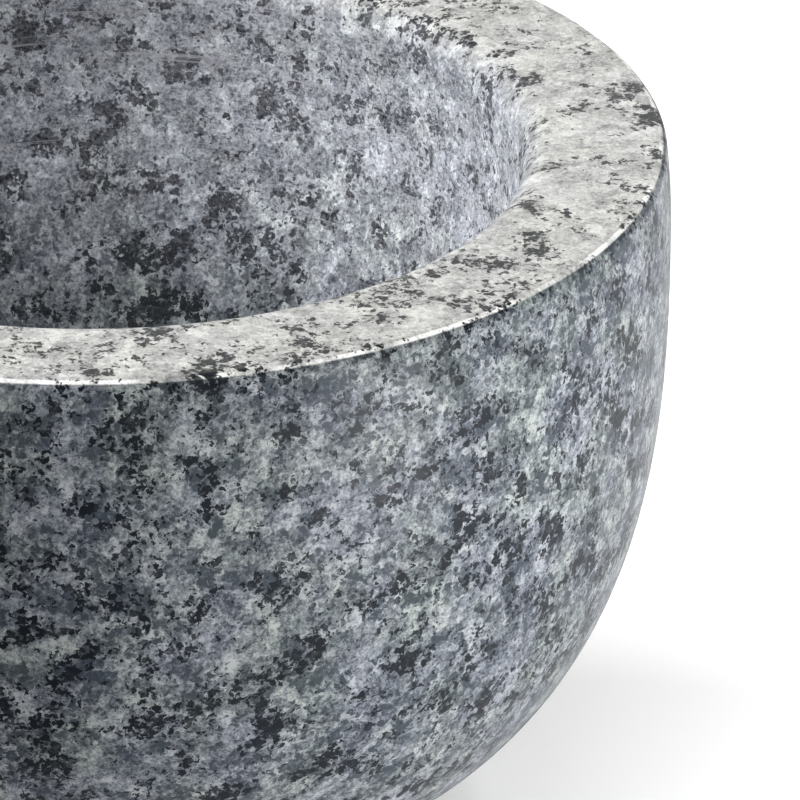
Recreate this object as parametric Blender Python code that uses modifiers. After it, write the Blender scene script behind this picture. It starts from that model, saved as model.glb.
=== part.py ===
"""Molcajete: a turned granite mortar bowl on three stub legs, with its pestle, the tejolote.

Metres, +Z up. The origin is on the bowl's axis, on the surface that the three leg soles stand on.
The pestle rests in the cavity: its round head sits on the floor and its shaft leans on the rim's
inner edge, towards -X.
"""

import math

import bpy
from mathutils import Matrix

# The bowl's outside
BODY_RADIUS = 0.090          # at the girth, the widest place, a little below the rim
BODY_HEIGHT = 0.115          # from the rim's face down to the lowest point of the round body
GIRTH_DROP = 0.014           # from the rim's face down to the girth
RIM_DRAW_IN = 0.0007         # how much narrower the wall is at the rim than at the girth
BODY_FULLNESS = 2.8          # superellipse exponent of the wall below the girth; 2 is an ellipse
RIM_EDGE_RADIUS = 0.002      # rounding of the rim's outer edge

# The bowl's inside
RIM_WIDTH = 0.0227           # the rim's thickness, roundings included
CAVITY_DEPTH = 0.075         # from the rim's face down to the cavity's floor
CAVITY_FULLNESS = 2.5        # superellipse exponent of the cavity's wall
LIP_RADIUS = 0.005           # rounding of the rim's inner edge

# The legs, carved from the same stone
LEG_COUNT = 3
FIRST_LEG_ANGLE = 180.0      # degrees from +X; the first leg is under the leaning pestle
LEG_INSET = 0.043            # from the girth inwards to a leg's axis
LEG_ROOT_RADIUS = 0.021      # where a leg runs into the body
LEG_SOLE_RADIUS = 0.013      # at the flat sole, before its edge is rounded
LEG_EDGE_RADIUS = 0.003      # rounding of the sole's edge
LEG_ROOT_SINK = 0.003        # how far a leg's top end is sunk into the body
GROUND_CLEARANCE = 0.014     # under the body's lowest point

# The pestle, along its own axis
HEAD_RADIUS = 0.0215         # the round grinding head
NECK_RADIUS = 0.0140         # the shaft's thinnest place
NECK_REACH = 0.078           # from the head's centre to the neck
KNOB_RADIUS = 0.0165         # the thicker top end
KNOB_REACH = 0.094           # from the head's centre to the knob's widest place
KNOB_DOME = 0.013            # height of the knob's rounded end
HEAD_OFFSET = 0.034          # how far from the bowl's axis the head's centre rests, towards -X

CONTACT_GAP = 0.0003         # left between two pieces that touch

# How finely the round surfaces are divided
BOWL_STEPS = 64
LEG_STEPS = 24
PESTLE_STEPS = 32
WALL_STEPS = 18              # along the cavity's outline and along the outside's
LIP_STEPS = 5
EDGE_STEPS = 4               # along the rim's outer edge and along a sole's edge
KNOB_STEPS = 6
WAIST_STEPS = 4
HEAD_STEPS = 12
CONTACT_STEPS = 400          # places tried on the cavity's outline when the head is set down

# Sizes that follow from the ones above
RIM_HEIGHT = BODY_HEIGHT + GROUND_CLEARANCE
RIM_OUTER_RADIUS = BODY_RADIUS - RIM_DRAW_IN
CAVITY_RADIUS = RIM_OUTER_RADIUS - RIM_WIDTH
LEG_CIRCLE_RADIUS = BODY_RADIUS - LEG_INSET


def arc(centre_r, centre_z, radius, start, end, steps):
    """Points (r, z) on an arc, from start to end in degrees, both ends included."""
    points = []
    for i in range(steps + 1):
        angle = math.radians(start + (end - start) * i / steps)
        points.append((centre_r + radius * math.cos(angle), centre_z + radius * math.sin(angle)))
    return points


def quarter(radius, top, depth, fullness, steps):
    """Points (r, z) on a quarter superellipse: down from (radius, top) to (0, top - depth)."""
    points = []
    for i in range(steps + 1):
        angle = 0.5 * math.pi * i / steps
        r = radius * max(math.cos(angle), 0.0) ** (2.0 / fullness)
        drop = depth * math.sin(angle) ** (2.0 / fullness)
        points.append((0.0 if i == steps else r, top - drop))
    return points


def cavity_outline():
    """The cavity and the lip, from the floor's centre up to the rim's flat face."""
    lip_r = CAVITY_RADIUS + LIP_RADIUS
    lip_z = RIM_HEIGHT - LIP_RADIUS
    wall = quarter(CAVITY_RADIUS, lip_z, CAVITY_DEPTH - LIP_RADIUS, CAVITY_FULLNESS, WALL_STEPS)
    lip = arc(lip_r, lip_z, LIP_RADIUS, 180.0, 90.0, LIP_STEPS)
    return wall[::-1] + lip[1:]


def bowl_outline():
    """The turned body: up the cavity, over the rim, and down the outside to the axis."""
    girth_z = RIM_HEIGHT - GIRTH_DROP
    edge_r = RIM_OUTER_RADIUS - RIM_EDGE_RADIUS
    edge_z = RIM_HEIGHT - RIM_EDGE_RADIUS
    rim_edge = arc(edge_r, edge_z, RIM_EDGE_RADIUS, 90.0, 0.0, EDGE_STEPS)
    middle_z = 0.5 * (edge_z + girth_z)
    share = (middle_z - girth_z) / (edge_z - girth_z)
    shoulder = [(BODY_RADIUS - RIM_DRAW_IN * share ** 2, middle_z)]
    outside = quarter(BODY_RADIUS, girth_z, BODY_HEIGHT - GIRTH_DROP, BODY_FULLNESS, WALL_STEPS)
    return cavity_outline() + rim_edge + shoulder + outside


def underside_height(radius):
    """Height of the body's outer surface, below the girth, at a distance from the axis."""
    share = (1.0 - (radius / BODY_RADIUS) ** BODY_FULLNESS) ** (1.0 / BODY_FULLNESS)
    return RIM_HEIGHT - GIRTH_DROP - (BODY_HEIGHT - GIRTH_DROP) * share


def leg_outline():
    """A stub leg on its own axis, from its hidden top end down to its flat sole."""
    top = underside_height(LEG_CIRCLE_RADIUS + LEG_ROOT_RADIUS) + LEG_ROOT_SINK
    edge_r = LEG_SOLE_RADIUS - LEG_EDGE_RADIUS
    edge = arc(edge_r, LEG_EDGE_RADIUS, LEG_EDGE_RADIUS, 0.0, -90.0, EDGE_STEPS)
    return [(0.0, top), (LEG_ROOT_RADIUS, top)] + edge + [(0.0, 0.0)]


def pestle_taper():
    """Half the angle between the sides of the shaft, which is tangent to the head."""
    reach = math.hypot(NECK_REACH, NECK_RADIUS)
    return math.asin(HEAD_RADIUS / reach) - math.atan2(NECK_RADIUS, NECK_REACH)


def pestle_outline():
    """The pestle on its own axis, head's centre at 0, from the knob's top down to the head."""
    taper = math.degrees(pestle_taper())
    knob = arc(0.0, 0.0, 1.0, 90.0, 0.0, KNOB_STEPS)
    points = [(KNOB_RADIUS * r, KNOB_REACH + KNOB_DOME * z) for r, z in knob]
    points[0] = (0.0, KNOB_REACH + KNOB_DOME)
    for i in range(1, WAIST_STEPS + 1):
        share = i / WAIST_STEPS
        swell = 0.5 + 0.5 * math.cos(math.pi * share)
        radius = NECK_RADIUS + (KNOB_RADIUS - NECK_RADIUS) * swell
        points.append((radius, KNOB_REACH + (NECK_REACH - KNOB_REACH) * share))
    head = arc(0.0, 0.0, HEAD_RADIUS, taper, -90.0, HEAD_STEPS)
    head[-1] = (0.0, -HEAD_RADIUS)
    return points + head


def head_rest_height():
    """Height of the head's centre when the head rests in the cavity at HEAD_OFFSET."""
    reach = HEAD_RADIUS + CONTACT_GAP
    touching = []
    for r, z in quarter(CAVITY_RADIUS, RIM_HEIGHT - LIP_RADIUS, CAVITY_DEPTH - LIP_RADIUS,
                        CAVITY_FULLNESS, CONTACT_STEPS):
        if abs(r - HEAD_OFFSET) < reach:
            touching.append(z + math.sqrt(reach ** 2 - (r - HEAD_OFFSET) ** 2))
    return max(touching)


def pestle_lean(head_z):
    """The angle from upright at which the shaft's side meets the lip."""
    across = CAVITY_RADIUS + LIP_RADIUS - HEAD_OFFSET
    up = RIM_HEIGHT - LIP_RADIUS - head_z
    side = math.acos((HEAD_RADIUS + LIP_RADIUS + CONTACT_GAP) / math.hypot(across, up))
    return side - math.atan2(up, across) + pestle_taper()


def granite(name, colour, roughness):
    """A plain stone material in one finish; the colour is linear."""
    material = bpy.data.materials.new(name)
    material.use_nodes = True
    shader = material.node_tree.nodes["Principled BSDF"]
    shader.inputs["Base Color"].default_value = (*colour, 1.0)
    shader.inputs["Roughness"].default_value = roughness
    shader.inputs["Metallic"].default_value = 0.0
    return material


def turned(name, outline, steps, collection):
    """A solid of revolution about Z from (r, z) points, as an object with a Screw modifier."""
    mesh = bpy.data.meshes.new(name)
    edges = [(i, i + 1) for i in range(len(outline) - 1)]
    mesh.from_pydata([(r, 0.0, z) for r, z in outline], edges, [])
    piece = bpy.data.objects.new(name, mesh)
    collection.objects.link(piece)
    screw = piece.modifiers.new("turning", 'SCREW')
    screw.axis = 'Z'
    screw.angle = 2.0 * math.pi
    screw.steps = steps
    screw.render_steps = steps
    screw.use_merge_vertices = True
    screw.merge_threshold = 0.00001
    screw.use_smooth_shade = True
    return piece


def leg_angles():
    """The legs' places round the bowl's axis, in degrees."""
    return [FIRST_LEG_ANGLE + 360.0 * i / LEG_COUNT for i in range(LEG_COUNT)]


def make_mortar(parts, cutters):
    """The bowl, with its legs joined to it as one stone."""
    mortar = turned("mortar", bowl_outline(), BOWL_STEPS, parts)
    mortar.data.materials.append(granite("granite_mortar", (0.24, 0.25, 0.26), 0.45))
    for number, angle in enumerate(leg_angles(), start=1):
        leg = turned(f"leg_{number}", leg_outline(), LEG_STEPS, cutters)
        bearing = math.radians(angle)
        leg.location = (LEG_CIRCLE_RADIUS * math.cos(bearing),
                        LEG_CIRCLE_RADIUS * math.sin(bearing), 0.0)
        leg.rotation_euler = (0.0, 0.0, bearing)
        leg.hide_render = True
        leg.display_type = 'WIRE'
        union = mortar.modifiers.new(f"carve_{leg.name}", 'BOOLEAN')
        union.operation = 'UNION'
        union.solver = 'EXACT'
        union.object = leg
    return mortar


def make_pestle(parts):
    """The pestle at rest, with its origin at the head's centre."""
    pestle = turned("pestle", pestle_outline(), PESTLE_STEPS, parts)
    pestle.data.materials.append(granite("granite_pestle", (0.22, 0.23, 0.24), 0.40))
    head_z = head_rest_height()
    lean = Matrix.Rotation(-pestle_lean(head_z), 4, 'Y')
    pestle.matrix_world = Matrix.Translation((-HEAD_OFFSET, 0.0, head_z)) @ lean
    return pestle


def make_collection(name):
    collection = bpy.data.collections.new(name)
    bpy.context.scene.collection.children.link(collection)
    return collection


for old in list(bpy.data.objects):
    bpy.data.objects.remove(old, do_unlink=True)

molcajete = make_collection("molcajete")
cutting = make_collection("cutters")
make_mortar(molcajete, cutting)
make_pestle(molcajete)
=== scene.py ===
import math

import bmesh
import bpy
from mathutils import Matrix, Vector, noise


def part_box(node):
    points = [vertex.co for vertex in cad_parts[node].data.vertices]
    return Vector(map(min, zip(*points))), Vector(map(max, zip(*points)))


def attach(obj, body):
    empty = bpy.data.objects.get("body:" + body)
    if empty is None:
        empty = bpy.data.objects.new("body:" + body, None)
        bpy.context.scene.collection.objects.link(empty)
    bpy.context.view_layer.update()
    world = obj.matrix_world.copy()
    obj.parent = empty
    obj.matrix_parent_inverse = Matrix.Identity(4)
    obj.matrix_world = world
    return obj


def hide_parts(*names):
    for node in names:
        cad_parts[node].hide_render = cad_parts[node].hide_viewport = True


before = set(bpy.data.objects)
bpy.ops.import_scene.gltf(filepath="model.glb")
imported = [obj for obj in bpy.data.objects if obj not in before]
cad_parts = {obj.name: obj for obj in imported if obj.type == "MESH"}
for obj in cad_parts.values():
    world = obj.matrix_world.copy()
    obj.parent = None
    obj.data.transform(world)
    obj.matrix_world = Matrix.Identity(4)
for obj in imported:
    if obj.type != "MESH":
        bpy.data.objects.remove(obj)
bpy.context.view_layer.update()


# The mortar: one block of grey granite, turned on a lathe and then carved underneath.
# A thick flat rim, a wall that rounds in to the underside, a deep cavity and three stub legs.

mortar_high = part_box("mortar")[1]
girth_radius = mortar_high.x
rim_height = mortar_high.z

girth_drop = 0.014            # from the rim's face down to the widest place
body_height = 0.115           # from the rim's face down to the lowest point of the round body
rim_draw_in = 0.0007          # the wall is this much narrower at the rim than at the girth
rim_width = 0.0227
edge_round = 0.002            # outer edge of the rim
lip_round = 0.005             # inner edge of the rim
cavity_depth = 0.075
body_fullness = 2.8           # superellipse exponents: 2 is an ellipse, more is squarer
cavity_fullness = 2.5

cavity_radius = girth_radius - rim_draw_in - rim_width
lip_centre_r = cavity_radius + lip_round
lip_centre_z = rim_height - lip_round
turns = 320                   # faces round the bowl; each is under 2 mm wide


def arc(centre_r, centre_z, radius, start, end, steps):
    """Outline points (r, z) on an arc, from start to end in degrees."""
    angles = [math.radians(start + (end - start) * i / steps) for i in range(steps + 1)]
    return [(centre_r + radius * math.cos(a), centre_z + radius * math.sin(a)) for a in angles]


def quarter(radius, top, depth, fullness, steps):
    """Outline points (r, z) on a quarter superellipse, evenly spaced, down to the axis."""
    fine = []
    for i in range(steps * 8 + 1):
        a = 0.5 * math.pi * i / (steps * 8)
        r = radius * max(math.cos(a), 0.0) ** (2.0 / fullness)
        fine.append(Vector((r, top - depth * math.sin(a) ** (2.0 / fullness))))
    fine[-1].x = 0.0
    run = [0.0]
    for p, q in zip(fine, fine[1:]):
        run.append(run[-1] + (q - p).length)
    points, at = [], 0
    for i in range(steps + 1):
        want = run[-1] * i / steps
        while at < len(run) - 2 and run[at + 1] < want:
            at += 1
        share = (want - run[at]) / (run[at + 1] - run[at])
        points.append(tuple(fine[at].lerp(fine[at + 1], min(share, 1.0))))
    return points


def turned(outline, steps):
    """A closed bmesh turned about Z from outline points (r, z) that start and end on the axis."""
    bm = bmesh.new()
    profile = [bm.verts.new((r, 0.0, z)) for r, z in outline]
    for a, b in zip(profile, profile[1:]):
        bm.edges.new((a, b))
    bmesh.ops.spin(bm, geom=bm.verts[:] + bm.edges[:], cent=(0, 0, 0), axis=(0, 0, 1),
                   angle=2.0 * math.pi, steps=steps, use_merge=True)
    bmesh.ops.remove_doubles(bm, verts=bm.verts, dist=1e-6)
    bmesh.ops.recalc_face_normals(bm, faces=bm.faces)
    return bm


# The outline runs up the cavity, over the rim, and down the outside to the axis.
cavity_steps, lip_steps, face_steps, edge_steps, shoulder_steps, wall_steps = 84, 8, 10, 12, 8, 100
cavity = quarter(cavity_radius, lip_centre_z, cavity_depth - lip_round, cavity_fullness,
                 cavity_steps)[::-1]
lip = arc(lip_centre_r, lip_centre_z, lip_round, 180, 90, lip_steps)
edge_r = girth_radius - rim_draw_in - edge_round
edge_z = rim_height - edge_round
face = [(lip_centre_r + (edge_r - lip_centre_r) * i / face_steps, rim_height)
        for i in range(1, face_steps)]
edge = arc(edge_r, edge_z, edge_round, 90, 0, edge_steps)
girth_z = rim_height - girth_drop
shoulder = []
for i in range(1, shoulder_steps):
    share = 1.0 - i / shoulder_steps
    shoulder.append((girth_radius - rim_draw_in * share ** 2,
                     girth_z + (girth_drop - edge_round) * share))
wall = quarter(girth_radius, girth_z, body_height - girth_drop, body_fullness, wall_steps)
stone = turned(cavity + lip[1:] + face + edge + shoulder + wall, turns)

# The legs are drawn out of the underside: the body runs softly into three tapered stubs.
leg_inset = 0.043             # from the girth inwards to a leg's axis
leg_circle = girth_radius - leg_inset
leg_root_radius = 0.021
leg_sole_radius = 0.013
leg_edge_round = 0.003
leg_blend = 0.0035            # how softly a leg runs into the body
leg_angles = (180, 300, 60)
leg_axes = [Matrix.Rotation(math.radians(a), 3, 'Z') @ Vector((leg_circle, 0, 0))
            for a in leg_angles]
leg_top = 0.045               # no part of a leg is above this
leg_reach = 0.024             # a leg with its blend, from its axis


def from_leg(point):
    """Distance from the nearest leg's axis."""
    return min((Vector((point.x, point.y, 0)) - axis).length for axis in leg_axes)


leg_edges = {}                # a dict keeps the edges in the order of their faces
for f in stone.faces:
    middle = f.calc_center_median()
    if middle.z < leg_top and from_leg(middle) < leg_reach:
        leg_edges.update(dict.fromkeys(f.edges))
bmesh.ops.subdivide_edges(stone, edges=list(leg_edges), cuts=1, use_grid_fill=True)

root_share = 1.0 - ((leg_circle + leg_root_radius) / girth_radius) ** body_fullness
root_height = girth_z - (body_height - girth_drop) * root_share ** (1.0 / body_fullness)
taper = (leg_root_radius - leg_sole_radius) / root_height
drawn_top = 0.05              # the cavity's floor is above this
for v in stone.verts:
    if v.co.z > drawn_top:
        continue
    reach = from_leg(v.co)
    if reach < leg_sole_radius - leg_edge_round:
        leg_height = 0.0
    elif reach < leg_sole_radius:
        into = reach - (leg_sole_radius - leg_edge_round)
        leg_height = leg_edge_round - math.sqrt(leg_edge_round ** 2 - into ** 2)
    else:
        leg_height = leg_edge_round + (reach - leg_sole_radius) / taper
    gap = abs(v.co.z - leg_height)
    dip = max(leg_blend - gap, 0.0) ** 2 / (4.0 * leg_blend)
    lowest = min(v.co.z, leg_height)
    v.co.z = max(lowest - dip, 0.0)

for f in stone.faces:
    f.smooth = True
mortar_mesh = bpy.data.meshes.new("turned_mortar")
stone.to_mesh(mortar_mesh)
stone.free()
mortar = bpy.data.objects.new("turned_mortar", mortar_mesh)
bpy.context.scene.collection.objects.link(mortar)
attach(mortar, "mortar")
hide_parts("mortar")


# The stone itself: grey granite, pale feldspar and quartz with two dark minerals in ragged
# clusters. It is honed outside, ground flat and pale on the rim, and left rough inside. A painted
# sheen adds to the rim's paleness, its outer edge has a painted highlight, and the cavity's
# whitening fades with depth as painted shade.

def linear(hex_code):
    """An sRGB hex colour as a linear RGBA tuple."""
    channels = [int(hex_code[i:i + 2], 16) / 255 for i in (1, 3, 5)]
    lit = [c / 12.92 if c <= 0.04045 else ((c + 0.055) / 1.055) ** 2.4 for c in channels]
    return (*lit, 1.0)


def add(tree, kind, inputs=None, **settings):
    """Adds a node; inputs maps a socket's name or number to a value or to an output socket."""
    node = tree.nodes.new(kind)
    for field, value in settings.items():
        setattr(node, field, value)
    for socket, value in (inputs or {}).items():
        if isinstance(value, bpy.types.NodeSocket):
            tree.links.new(value, node.inputs[socket])
        else:
            node.inputs[socket].default_value = value
    return node


def granite(name):
    """The stone's grain, in millimetres of the object's own space, in the mesh's three finishes."""
    material = bpy.data.materials.new(name)
    material.use_nodes = True
    tree = material.node_tree
    shader = tree.nodes["Principled BSDF"]

    place = add(tree, "ShaderNodeTexCoord")
    mm = add(tree, "ShaderNodeMapping", {"Vector": place.outputs["Object"],
                                         "Scale": (1000, 1000, 1000)}).outputs[0]
    # Grain edges are ragged: the coordinates wander by about half a millimetre.
    ragged = add(tree, "ShaderNodeTexNoise", {"Vector": mm, "Scale": 0.9, "Detail": 2.0,
                                              "Roughness": 0.5})
    centred = add(tree, "ShaderNodeVectorMath", {0: ragged.outputs["Color"], 1: (0.5, 0.5, 0.5)},
                  operation='SUBTRACT')
    wander = add(tree, "ShaderNodeVectorMath", {0: centred.outputs[0], "Scale": 1.8},
                 operation='SCALE')
    at = add(tree, "ShaderNodeVectorMath", {0: mm, 1: wander.outputs[0]},
             operation='ADD').outputs[0]

    # The pale matrix: cloudy areas of 4 to 8 mm, crystals of 2 to 3 mm that each have their own
    # grey, mottling of 1 mm, seams between smaller crystals, and grit of a third of a millimetre.
    clouds = add(tree, "ShaderNodeTexNoise", {"Vector": at, "Scale": 0.2, "Detail": 4.0,
                                              "Roughness": 0.6})
    crystals = add(tree, "ShaderNodeTexVoronoi", {"Vector": at, "Scale": 0.45, "Smoothness": 0.3},
                   feature='SMOOTH_F1')
    crystal = add(tree, "ShaderNodeSeparateColor", {0: crystals.outputs["Color"]})
    mottle = add(tree, "ShaderNodeTexNoise", {"Vector": at, "Scale": 1.0, "Detail": 2.0,
                                              "Roughness": 0.55})
    small = add(tree, "ShaderNodeTexVoronoi", {"Vector": at, "Scale": 0.9},
                feature='DISTANCE_TO_EDGE')
    seam = add(tree, "ShaderNodeMapRange", {"Value": small.outputs["Distance"], 1: 0.0, 2: 0.12,
                                            3: 1.0, 4: 0.0})
    grit = add(tree, "ShaderNodeTexNoise", {"Vector": mm, "Scale": 2.2, "Detail": 2.0,
                                            "Roughness": 0.6})
    tone = None
    for source, weight, least in ((clouds.outputs["Fac"], 1.5, -0.24),
                                  (crystal.outputs[0], 0.40, -0.20),
                                  (mottle.outputs["Fac"], 1.5, -0.75),
                                  (grit.outputs["Fac"], 1.3, -0.65),
                                  (seam.outputs[0], 0.10, -0.03)):
        term = add(tree, "ShaderNodeMath", {0: source, 1: weight, 2: least},
                   operation='MULTIPLY_ADD')
        if tone is None:
            tone = term
        else:
            tone = add(tree, "ShaderNodeMath", {0: tone.outputs[0], 1: term.outputs[0]})
    pale = add(tree, "ShaderNodeValToRGB", {0: tone.outputs[0]})
    ramp = pale.color_ramp
    ramp.elements[0].position, ramp.elements[0].color = 0.0, linear("#363b41")
    ramp.elements[1].position, ramp.elements[1].color = 1.0, linear("#a3a6a6")
    for position, colour in ((0.25, "#565b61"), (0.45, "#6c7176"), (0.62, "#7c8185"),
                             (0.8, "#909597")):
        stop = ramp.elements.new(position)
        stop.color = linear(colour)

    # Two dark minerals, grey pyroxene and black mica. Each is a drift of round grains: where the
    # drift is strong the grains merge in a scalloped patch, and round it they stand apart.
    def mineral(offset, drift_scale, start, end, cloudy):
        """A mineral's share of each place, and the field that its patches are cut from."""
        spot = add(tree, "ShaderNodeVectorMath", {0: at, 1: offset}, operation='ADD').outputs[0]
        drift = add(tree, "ShaderNodeTexNoise", {"Vector": spot, "Scale": drift_scale,
                                                 "Detail": 4.0, "Roughness": 0.6})
        grains = add(tree, "ShaderNodeTexVoronoi", {"Vector": spot, "Scale": 0.55})
        specks = add(tree, "ShaderNodeTexVoronoi", {"Vector": spot, "Scale": 1.2})
        lot = add(tree, "ShaderNodeSeparateColor", {0: grains.outputs["Color"]})
        field = add(tree, "ShaderNodeMath", {0: drift.outputs["Fac"], 1: 0.9},
                    operation='MULTIPLY')
        for source, weight in ((grains.outputs["Distance"], -0.24),
                               (specks.outputs["Distance"], -0.22),
                               (grit.outputs["Fac"], 0.25)):
            field = add(tree, "ShaderNodeMath", {0: source, 1: weight, 2: field.outputs[0]},
                        operation='MULTIPLY_ADD')
        patch = add(tree, "ShaderNodeMapRange", {"Value": field.outputs[0], 1: start, 2: end,
                                                 3: 0.0, 4: 1.0})
        shade = add(tree, "ShaderNodeMath", {0: lot.outputs[1], 1: -0.3 * cloudy,
                                             2: 1.05 + 0.5 * cloudy}, operation='MULTIPLY_ADD')
        shade = add(tree, "ShaderNodeMath", {0: mottle.outputs["Fac"], 1: -cloudy,
                                             2: shade.outputs[0]}, operation='MULTIPLY_ADD')
        patch = add(tree, "ShaderNodeMath", {0: patch.outputs[0], 1: shade.outputs[0]},
                    operation='MULTIPLY', use_clamp=True)
        return patch.outputs[0], field.outputs[0]

    pyroxene = mineral((31, 7, 12), 0.19, 0.376, 0.396, 1.4)[0]
    mica, mica_field = mineral((0, 0, 0), 0.145, 0.400, 0.418, 0.5)
    stone_colour = pale.outputs["Color"]
    for patches, colour in ((pyroxene, "#3b4249"), (mica, "#181c21")):
        stone_colour = add(tree, "ShaderNodeMix", {0: patches, 6: stone_colour,
                                                   7: linear(colour)},
                           data_type='RGBA').outputs[2]

    # A green cast where the mica has weathered, and a lilac one elsewhere.
    casts = add(tree, "ShaderNodeTexNoise", {"Vector": mm, "Scale": 0.09, "Detail": 3.0})
    cast = add(tree, "ShaderNodeValToRGB", {0: casts.outputs["Fac"]})
    cast.color_ramp.elements[0].position = 0.40
    cast.color_ramp.elements[0].color = linear("#faf9ff")
    cast.color_ramp.elements[1].position = 0.62
    cast.color_ramp.elements[1].color = linear("#f9fbf5")
    stone_colour = add(tree, "ShaderNodeMix", {0: 1.0, 6: stone_colour, 7: cast.outputs["Color"]},
                       data_type='RGBA', blend_type='MULTIPLY').outputs[2]

    # Turning marks: the grit drawn out round the bowl's axis, a few millimetres long.
    apart = add(tree, "ShaderNodeSeparateXYZ", {0: mm})
    flat = add(tree, "ShaderNodeVectorMath", {0: mm, 1: (1, 1, 0)}, operation='MULTIPLY')
    out = add(tree, "ShaderNodeVectorMath", {0: flat.outputs[0]}, operation='LENGTH')
    along = add(tree, "ShaderNodeMath", {0: out.outputs["Value"], 1: apart.outputs["Z"]})
    track = add(tree, "ShaderNodeVectorMath", {0: flat.outputs[0], "Scale": 0.1},
                operation='SCALE')
    lift = add(tree, "ShaderNodeCombineXYZ", {"Z": along.outputs[0]})
    lines = add(tree, "ShaderNodeVectorMath", {0: track.outputs[0], 1: lift.outputs[0]},
                operation='ADD')
    marks = add(tree, "ShaderNodeTexNoise", {"Vector": lines.outputs[0], "Scale": 2.2,
                                             "Detail": 3.0, "Roughness": 0.6})
    bruise = add(tree, "ShaderNodeTexNoise", {"Vector": mm, "Scale": 1.6, "Detail": 4.0,
                                              "Roughness": 0.8})

    # How much of the rim's ground finish, with the painted highlight on its outer edge, and of the
    # cavity's rough one, which fades with depth as painted shade, each place has. Both make the
    # stone paler, the rough one most where a crystal is pale already.
    ground_and_highlight = add(tree, "ShaderNodeAttribute", attribute_name="ground_and_highlight")
    rough_and_shade = add(tree, "ShaderNodeAttribute", attribute_name="rough_and_shade")
    gain = add(tree, "ShaderNodeMath", {0: ground_and_highlight.outputs["Fac"], 1: 0.2, 2: 1.0},
               operation='MULTIPLY_ADD')
    bright = add(tree, "ShaderNodeMath", {0: tone.outputs[0], 1: 2.5}, operation='MULTIPLY')
    gain = add(tree, "ShaderNodeMath", {0: rough_and_shade.outputs["Fac"], 1: bright.outputs[0],
                                        2: gain.outputs[0]}, operation='MULTIPLY_ADD')
    stone_colour = add(tree, "ShaderNodeVectorMath", {0: stone_colour,
                                                      "Scale": gain.outputs[0]},
                       operation='SCALE').outputs[0]

    # Stone dust lies on the rim, least of all in the middle of a mica patch, and a painted sheen
    # adds to its paleness. The rim's outer edge carries a painted highlight, almost white.
    core = add(tree, "ShaderNodeMapRange", {"Value": mica_field, 1: 0.400, 2: 0.468,
                                            3: 0.0, 4: 1.0})
    clean = add(tree, "ShaderNodeMath", {0: mica, 1: -0.52, 2: 1.0}, operation='MULTIPLY_ADD')
    clean = add(tree, "ShaderNodeMath", {0: core.outputs[0], 1: -0.50, 2: clean.outputs[0]},
                operation='MULTIPLY_ADD', use_clamp=True)
    # Painted sheen: the rim's dust is partly real paleness and partly a painted stand-in for its
    # sheen.
    dust_and_highlight = add(tree, "ShaderNodeMath", {0: tone.outputs[0], 1: 0.40, 2: 0.25},
               operation='MULTIPLY_ADD')
    dust_and_highlight = add(tree, "ShaderNodeMath", {0: dust_and_highlight.outputs[0], 1: ground_and_highlight.outputs["Fac"]},
               operation='MULTIPLY', use_clamp=True)
    dust_and_highlight = add(tree, "ShaderNodeMath", {0: dust_and_highlight.outputs[0], 1: clean.outputs[0]},
               operation='MULTIPLY', use_clamp=True)
    # Painted highlight: ground shares above 1, on the rim's outer edge, turn the dust colour almost
    # white.
    painted_edge_highlight = add(tree, "ShaderNodeMapRange", {"Value": ground_and_highlight.outputs["Fac"], 1: 1.0, 2: 2.0,
                                                 3: 0.0, 4: 1.0})
    dust_and_highlight_colour = add(tree, "ShaderNodeMix", {0: painted_edge_highlight.outputs[0], 6: linear("#dfddd7"),
                                              7: linear("#fafaf8")}, data_type='RGBA')
    stone_colour = add(tree, "ShaderNodeMix", {0: dust_and_highlight.outputs[0], 6: stone_colour,
                                               7: dust_and_highlight_colour.outputs[2]},
                       data_type='RGBA').outputs[2]

    # The cutting tool has bruised the cavity white, less so on the dark minerals. The whitening
    # fades with depth, which paints shade into the deeper cavity.
    half_grey = add(tree, "ShaderNodeMath", {0: pyroxene, 1: 0.5}, operation='MULTIPLY')
    dark = add(tree, "ShaderNodeMath", {0: half_grey.outputs[0], 1: mica}, operation='MAXIMUM')
    bare = add(tree, "ShaderNodeMath", {0: dark.outputs[0], 1: -0.70, 2: 1.0},
               operation='MULTIPLY_ADD')
    white = add(tree, "ShaderNodeMath", {0: marks.outputs["Fac"], 1: 0.5, 2: -0.25},
                operation='MULTIPLY_ADD')
    white = add(tree, "ShaderNodeMath", {0: bruise.outputs["Fac"], 1: 3.4, 2: white.outputs[0]},
                operation='MULTIPLY_ADD')
    white = add(tree, "ShaderNodeMath", {0: white.outputs[0], 1: -1.22}, use_clamp=True)
    white = add(tree, "ShaderNodeMath", {0: white.outputs[0], 1: rough_and_shade.outputs["Fac"]},
                operation='MULTIPLY')
    white = add(tree, "ShaderNodeMath", {0: white.outputs[0], 1: bare.outputs[0]},
                operation='MULTIPLY', use_clamp=True)
    stone_colour = add(tree, "ShaderNodeMix", {0: white.outputs[0], 6: stone_colour,
                                               7: linear("#e0e0e8")},
                       data_type='RGBA').outputs[2]

    # A few long thin scratches run round the cavity.
    long_track = add(tree, "ShaderNodeVectorMath", {0: flat.outputs[0], "Scale": 0.02},
                     operation='SCALE')
    tall = add(tree, "ShaderNodeVectorMath", {0: long_track.outputs[0], 1: lift.outputs[0]},
               operation='ADD')
    scores = add(tree, "ShaderNodeTexNoise", {"Vector": tall.outputs[0], "Scale": 0.9,
                                              "Detail": 3.0, "Roughness": 0.7})
    score = add(tree, "ShaderNodeMapRange", {"Value": scores.outputs["Fac"], 1: 0.60, 2: 0.66,
                                             3: 0.0, 4: 0.6})
    score = add(tree, "ShaderNodeMath", {0: score.outputs[0], 1: rough_and_shade.outputs["Fac"]},
                operation='MULTIPLY', use_clamp=True)
    stone_colour = add(tree, "ShaderNodeMix", {0: score.outputs[0], 6: stone_colour,
                                               7: linear("#c9c9d0")},
                       data_type='RGBA').outputs[2]
    tree.links.new(stone_colour, shader.inputs["Base Color"])

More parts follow.
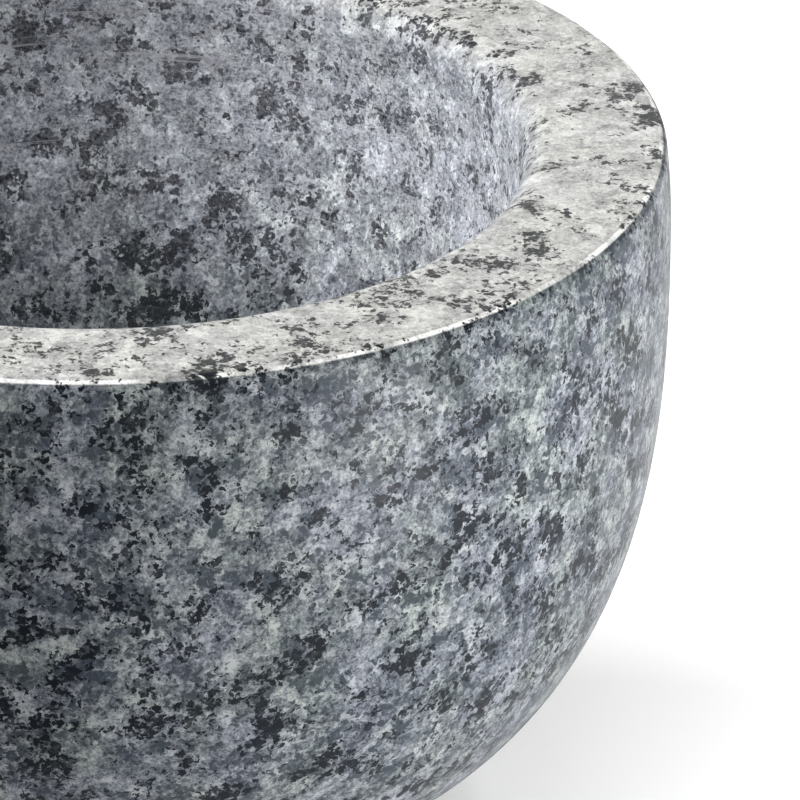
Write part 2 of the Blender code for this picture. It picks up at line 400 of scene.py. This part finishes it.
    # Honed stone has a soft sheen, the ground rim a little more, and the rough cavity none.
    sheen = add(tree, "ShaderNodeMapRange", {"Value": rough_and_shade.outputs["Fac"], 1: 0.0, 2: 1.0,
                                             3: 0.36, 4: 0.85})
    tree.links.new(sheen.outputs[0], shader.inputs["Roughness"])
    lustre = add(tree, "ShaderNodeMath", {0: ground_and_highlight.outputs["Fac"], 1: 0.06, 2: 0.07},
                 operation='MULTIPLY_ADD', use_clamp=True)
    tree.links.new(lustre.outputs[0], shader.inputs["Specular IOR Level"])
    relief = add(tree, "ShaderNodeMath", {0: marks.outputs["Fac"], 1: 0.35,
                                          2: bruise.outputs["Fac"]}, operation='MULTIPLY_ADD')
    strength = add(tree, "ShaderNodeMapRange", {"Value": rough_and_shade.outputs["Fac"], 1: 0.0, 2: 1.0,
                                                3: 0.06, 4: 0.8})
    bump = add(tree, "ShaderNodeBump", {"Height": relief.outputs[0], "Distance": 0.0003,
                                        "Strength": strength.outputs[0]})
    tree.links.new(bump.outputs[0], shader.inputs["Normal"])
    return material


# The finishes are painted on the mesh: the ground one over the rim's face and lip, with a
# painted highlight along the outer edge that varies along it, and the rough one inside, most
# bruised near the lip and fading with depth, which paints shade into the deeper cavity.
ground_and_highlight_share = mortar_mesh.attributes.new("ground_and_highlight", 'FLOAT', 'POINT')
rough_and_shade_share = mortar_mesh.attributes.new("rough_and_shade", 'FLOAT', 'POINT')
highlight_from, highlight_to = 69, 47   # degrees round the outer edge: 90 is the rim's face, 0 the wall
highlight_scale = 150.0            # the painted highlight changes along the edge every 7 mm or so
flat_slack = 0.0006           # this near to the rim's face, the stone is ground flat
floor_slack = 0.002           # the cavity's floor is no lower than its depth and this
bruise_top = 1.85             # how bruised the cavity would be at the rim's face
depth_shade_fade = 33.5            # and how much less for each metre down: painted shade on the deeper cavity
bruise_least, bruise_most = 0.08, 1.05
for vertex in mortar_mesh.vertices:
    spread = math.hypot(vertex.co.x, vertex.co.y)
    depth = rim_height - vertex.co.z
    ground_and_highlight_here = 0.0
    if spread > edge_r + 1e-5:
        turn = math.degrees(math.atan2(vertex.co.z - edge_z, spread - edge_r))
        if turn > highlight_from:
            ground_and_highlight_here = 1.0
        elif turn > highlight_to:
            # Painted highlight on the rim's outer edge, uneven along it.
            ground_and_highlight_here = 1.9 + 1.6 * noise.noise(vertex.co * highlight_scale)
    elif depth < flat_slack:
        ground_and_highlight_here = 1.0
    elif depth < lip_round and spread < lip_centre_r:
        ground_and_highlight_here = 1.0 - depth / lip_round
    ground_and_highlight_share.data[vertex.index].value = ground_and_highlight_here
    if spread < lip_centre_r and depth < cavity_depth + floor_slack:
        # Painted shade: the bruising fades with depth, so the deeper cavity is darker.
        bruised_and_shaded = min(max(bruise_top - depth_shade_fade * depth, bruise_least), bruise_most)
        rough_and_shade_share.data[vertex.index].value = bruised_and_shaded * min(max(depth / lip_round, 0.0), 1.0)
mortar_mesh.materials.append(granite("grey_granite"))


# The pestle: a club of the same granite, turned and honed all over. It has a round head that
# grinds, a shaft that thins upwards and a thicker knob for the hand, and is loose in the cavity.

pestle_low, pestle_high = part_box("pestle")
head_radius = 0.0215
neck_radius, neck_reach = 0.014, 0.078
knob_radius, knob_reach, knob_dome = 0.0165, 0.094, 0.013
contact_gap = 0.0003

pestle_taper = (math.asin(head_radius / math.hypot(neck_reach, neck_radius))
                - math.atan2(neck_radius, neck_reach))
knob_steps, waist_steps, shaft_steps, head_steps = 18, 14, 50, 34
knob = [(knob_radius * r, knob_reach + knob_dome * z)
        for r, z in arc(0, 0, 1, 90, 0, knob_steps)]
knob[0] = (0.0, knob_reach + knob_dome)
waist = []
for i in range(1, waist_steps + 1):
    share = i / waist_steps
    swell = 0.5 + 0.5 * math.cos(math.pi * share)
    waist.append((neck_radius + (knob_radius - neck_radius) * swell,
                  knob_reach + (neck_reach - knob_reach) * share))
head = arc(0, 0, head_radius, math.degrees(pestle_taper), -90, head_steps)
head[-1] = (0.0, -head_radius)
shaft_top, shaft_foot = Vector(waist[-1]), Vector(head[0])
shaft = [tuple(shaft_top.lerp(shaft_foot, i / shaft_steps)) for i in range(1, shaft_steps)]
pestle_turns = 128
club = turned(knob + waist + shaft + head, pestle_turns)

# It lies with its head on the cavity's floor and its shaft on the lip, towards -X.
head_centre = Vector((pestle_high.x - head_radius, 0, pestle_low.z + head_radius))
to_lip = Vector((-lip_centre_r, 0, lip_centre_z)) - head_centre
side = math.acos((head_radius + lip_round + contact_gap) / to_lip.length)
lean = side - math.atan2(to_lip.z, -to_lip.x) + pestle_taper
bmesh.ops.transform(club, matrix=Matrix.Translation(head_centre) @ Matrix.Rotation(-lean, 4, 'Y'),
                    verts=club.verts)
for f in club.faces:
    f.smooth = True
pestle_mesh = bpy.data.meshes.new("turned_pestle")
club.to_mesh(pestle_mesh)
club.free()
pestle = bpy.data.objects.new("turned_pestle", pestle_mesh)
bpy.context.scene.collection.objects.link(pestle)
pestle_mesh.materials.append(granite("grey_granite_pestle"))
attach(pestle, "pestle")
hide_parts("pestle")


# The studio: white paper on the floor, and soft boxes in front, behind, at the left and at the
# right. A lit pad low at the right puts the sheen on the wall, and a last box lights the floor.

floor_bm = bmesh.new()
bmesh.ops.create_grid(floor_bm, x_segments=1, y_segments=1, size=6.0)
floor_mesh = bpy.data.meshes.new("studio_floor")
floor_bm.to_mesh(floor_mesh)
floor_bm.free()
floor = bpy.data.objects.new("studio_floor", floor_mesh)
bpy.context.scene.collection.objects.link(floor)
# Matt white paper that glows a little, so that it shows as plain white with soft shadows.
paper = bpy.data.materials.new("white_paper")
paper.use_nodes = True
matt = paper.node_tree.nodes["Principled BSDF"].inputs
matt["Base Color"].default_value = linear("#f2f2f2")
matt["Roughness"].default_value = 0.9
matt["Emission Color"].default_value = linear("#ffffff")
matt["Emission Strength"].default_value = 0.36
floor_mesh.materials.append(paper)

# A black card, half a metre across, lies in front of the bowl at the left, so that less light
# comes off the floor there. It isn't seen itself, and casts no shadow.
card_bm = bmesh.new()
bmesh.ops.create_grid(card_bm, x_segments=1, y_segments=1, size=0.5)
bmesh.ops.transform(card_bm, verts=card_bm.verts,
                    matrix=Matrix.Translation((-0.22, -0.36, 0.004)) @ Matrix.Diagonal(
                        (0.48, 0.50, 1.0, 1.0)))
card_mesh = bpy.data.meshes.new("black_card")
card_bm.to_mesh(card_mesh)
card_bm.free()
card = bpy.data.objects.new("black_card", card_mesh)
bpy.context.scene.collection.objects.link(card)
black = bpy.data.materials.new("black_card")
black.use_nodes = True
matt = black.node_tree.nodes["Principled BSDF"].inputs
matt["Base Color"].default_value = linear("#181818")
matt["Roughness"].default_value = 1.0
card_mesh.materials.append(black)
card.visible_camera = False
card.visible_shadow = False

world = bpy.data.worlds.new("studio")
world.use_nodes = True
world.node_tree.nodes["Background"].inputs["Strength"].default_value = 0.0
bpy.context.scene.world = world

bowl_middle = Vector((0, 0, rim_height * 0.6))


def soft_box(name, place, target, width, height, power, colour):
    """A rectangular lamp at place, facing target, that the camera doesn't see."""
    lamp = bpy.data.lights.new(name, 'AREA')
    lamp.shape = 'RECTANGLE'
    lamp.size = width
    lamp.size_y = height
    lamp.energy = power
    lamp.color = linear(colour)[:3]
    light = bpy.data.objects.new(name, lamp)
    light.location = place
    light.rotation_euler = (target - place).to_track_quat('-Z', 'Y').to_euler()
    light.visible_camera = False
    bpy.context.scene.collection.objects.link(light)
    return light


soft_box("box_front", Vector((-0.05, -0.38, 1.10)), bowl_middle, 0.7, 0.5, 4.0, "#ffffff")
soft_box("box_back", Vector((0.2, 1.3, 0.65)), bowl_middle, 1.4, 0.8, 6.0, "#fffef8")
soft_box("box_right", Vector((0.50, -0.58, 0.52)), bowl_middle, 0.3, 0.3, 1.4, "#ffffff")
soft_box("box_left", Vector((-0.8, 0.10, 0.9)), bowl_middle, 0.6, 0.6, 17.0, "#ffffff")
soft_box("light_pad", Vector((0.25, -0.23, 0.008)), Vector((0.21, -0.20, 0.3)), 0.12, 0.14, 1.8,
         "#ffffff")
floor_box = soft_box("box_floor", Vector((0.42, -0.12, 0.6)), Vector((0.38, -0.12, 0)), 0.3, 0.3,
                     1.5, "#ffffff")
floor_box.data.spread = math.radians(50)

# The camera looks down at the rim's near right quarter, from far off with a long lens.
elevation = math.radians(24.15)
distance = 14.33 * girth_radius
aim_right, aim_below = 0.517 * girth_radius, 0.471 * girth_radius
camera_data = bpy.data.cameras.new("camera")
camera_data.sensor_width = 36.0
camera_data.lens = 368.6
camera_data.clip_end = 50.0
camera = bpy.data.objects.new("camera", camera_data)
bpy.context.scene.collection.objects.link(camera)
back = Vector((0, -math.cos(elevation), math.sin(elevation)))
up = Vector((0, math.sin(elevation), math.cos(elevation)))
rim_centre = Vector((0, 0, rim_height))
aim = rim_centre + Vector((aim_right, 0, 0)) - up * aim_below
camera.location = rim_centre + back * distance
camera.rotation_euler = (aim - camera.location).to_track_quat('-Z', 'Y').to_euler()
bpy.context.scene.camera = camera
bpy.context.scene.view_settings.view_transform = 'Standard'
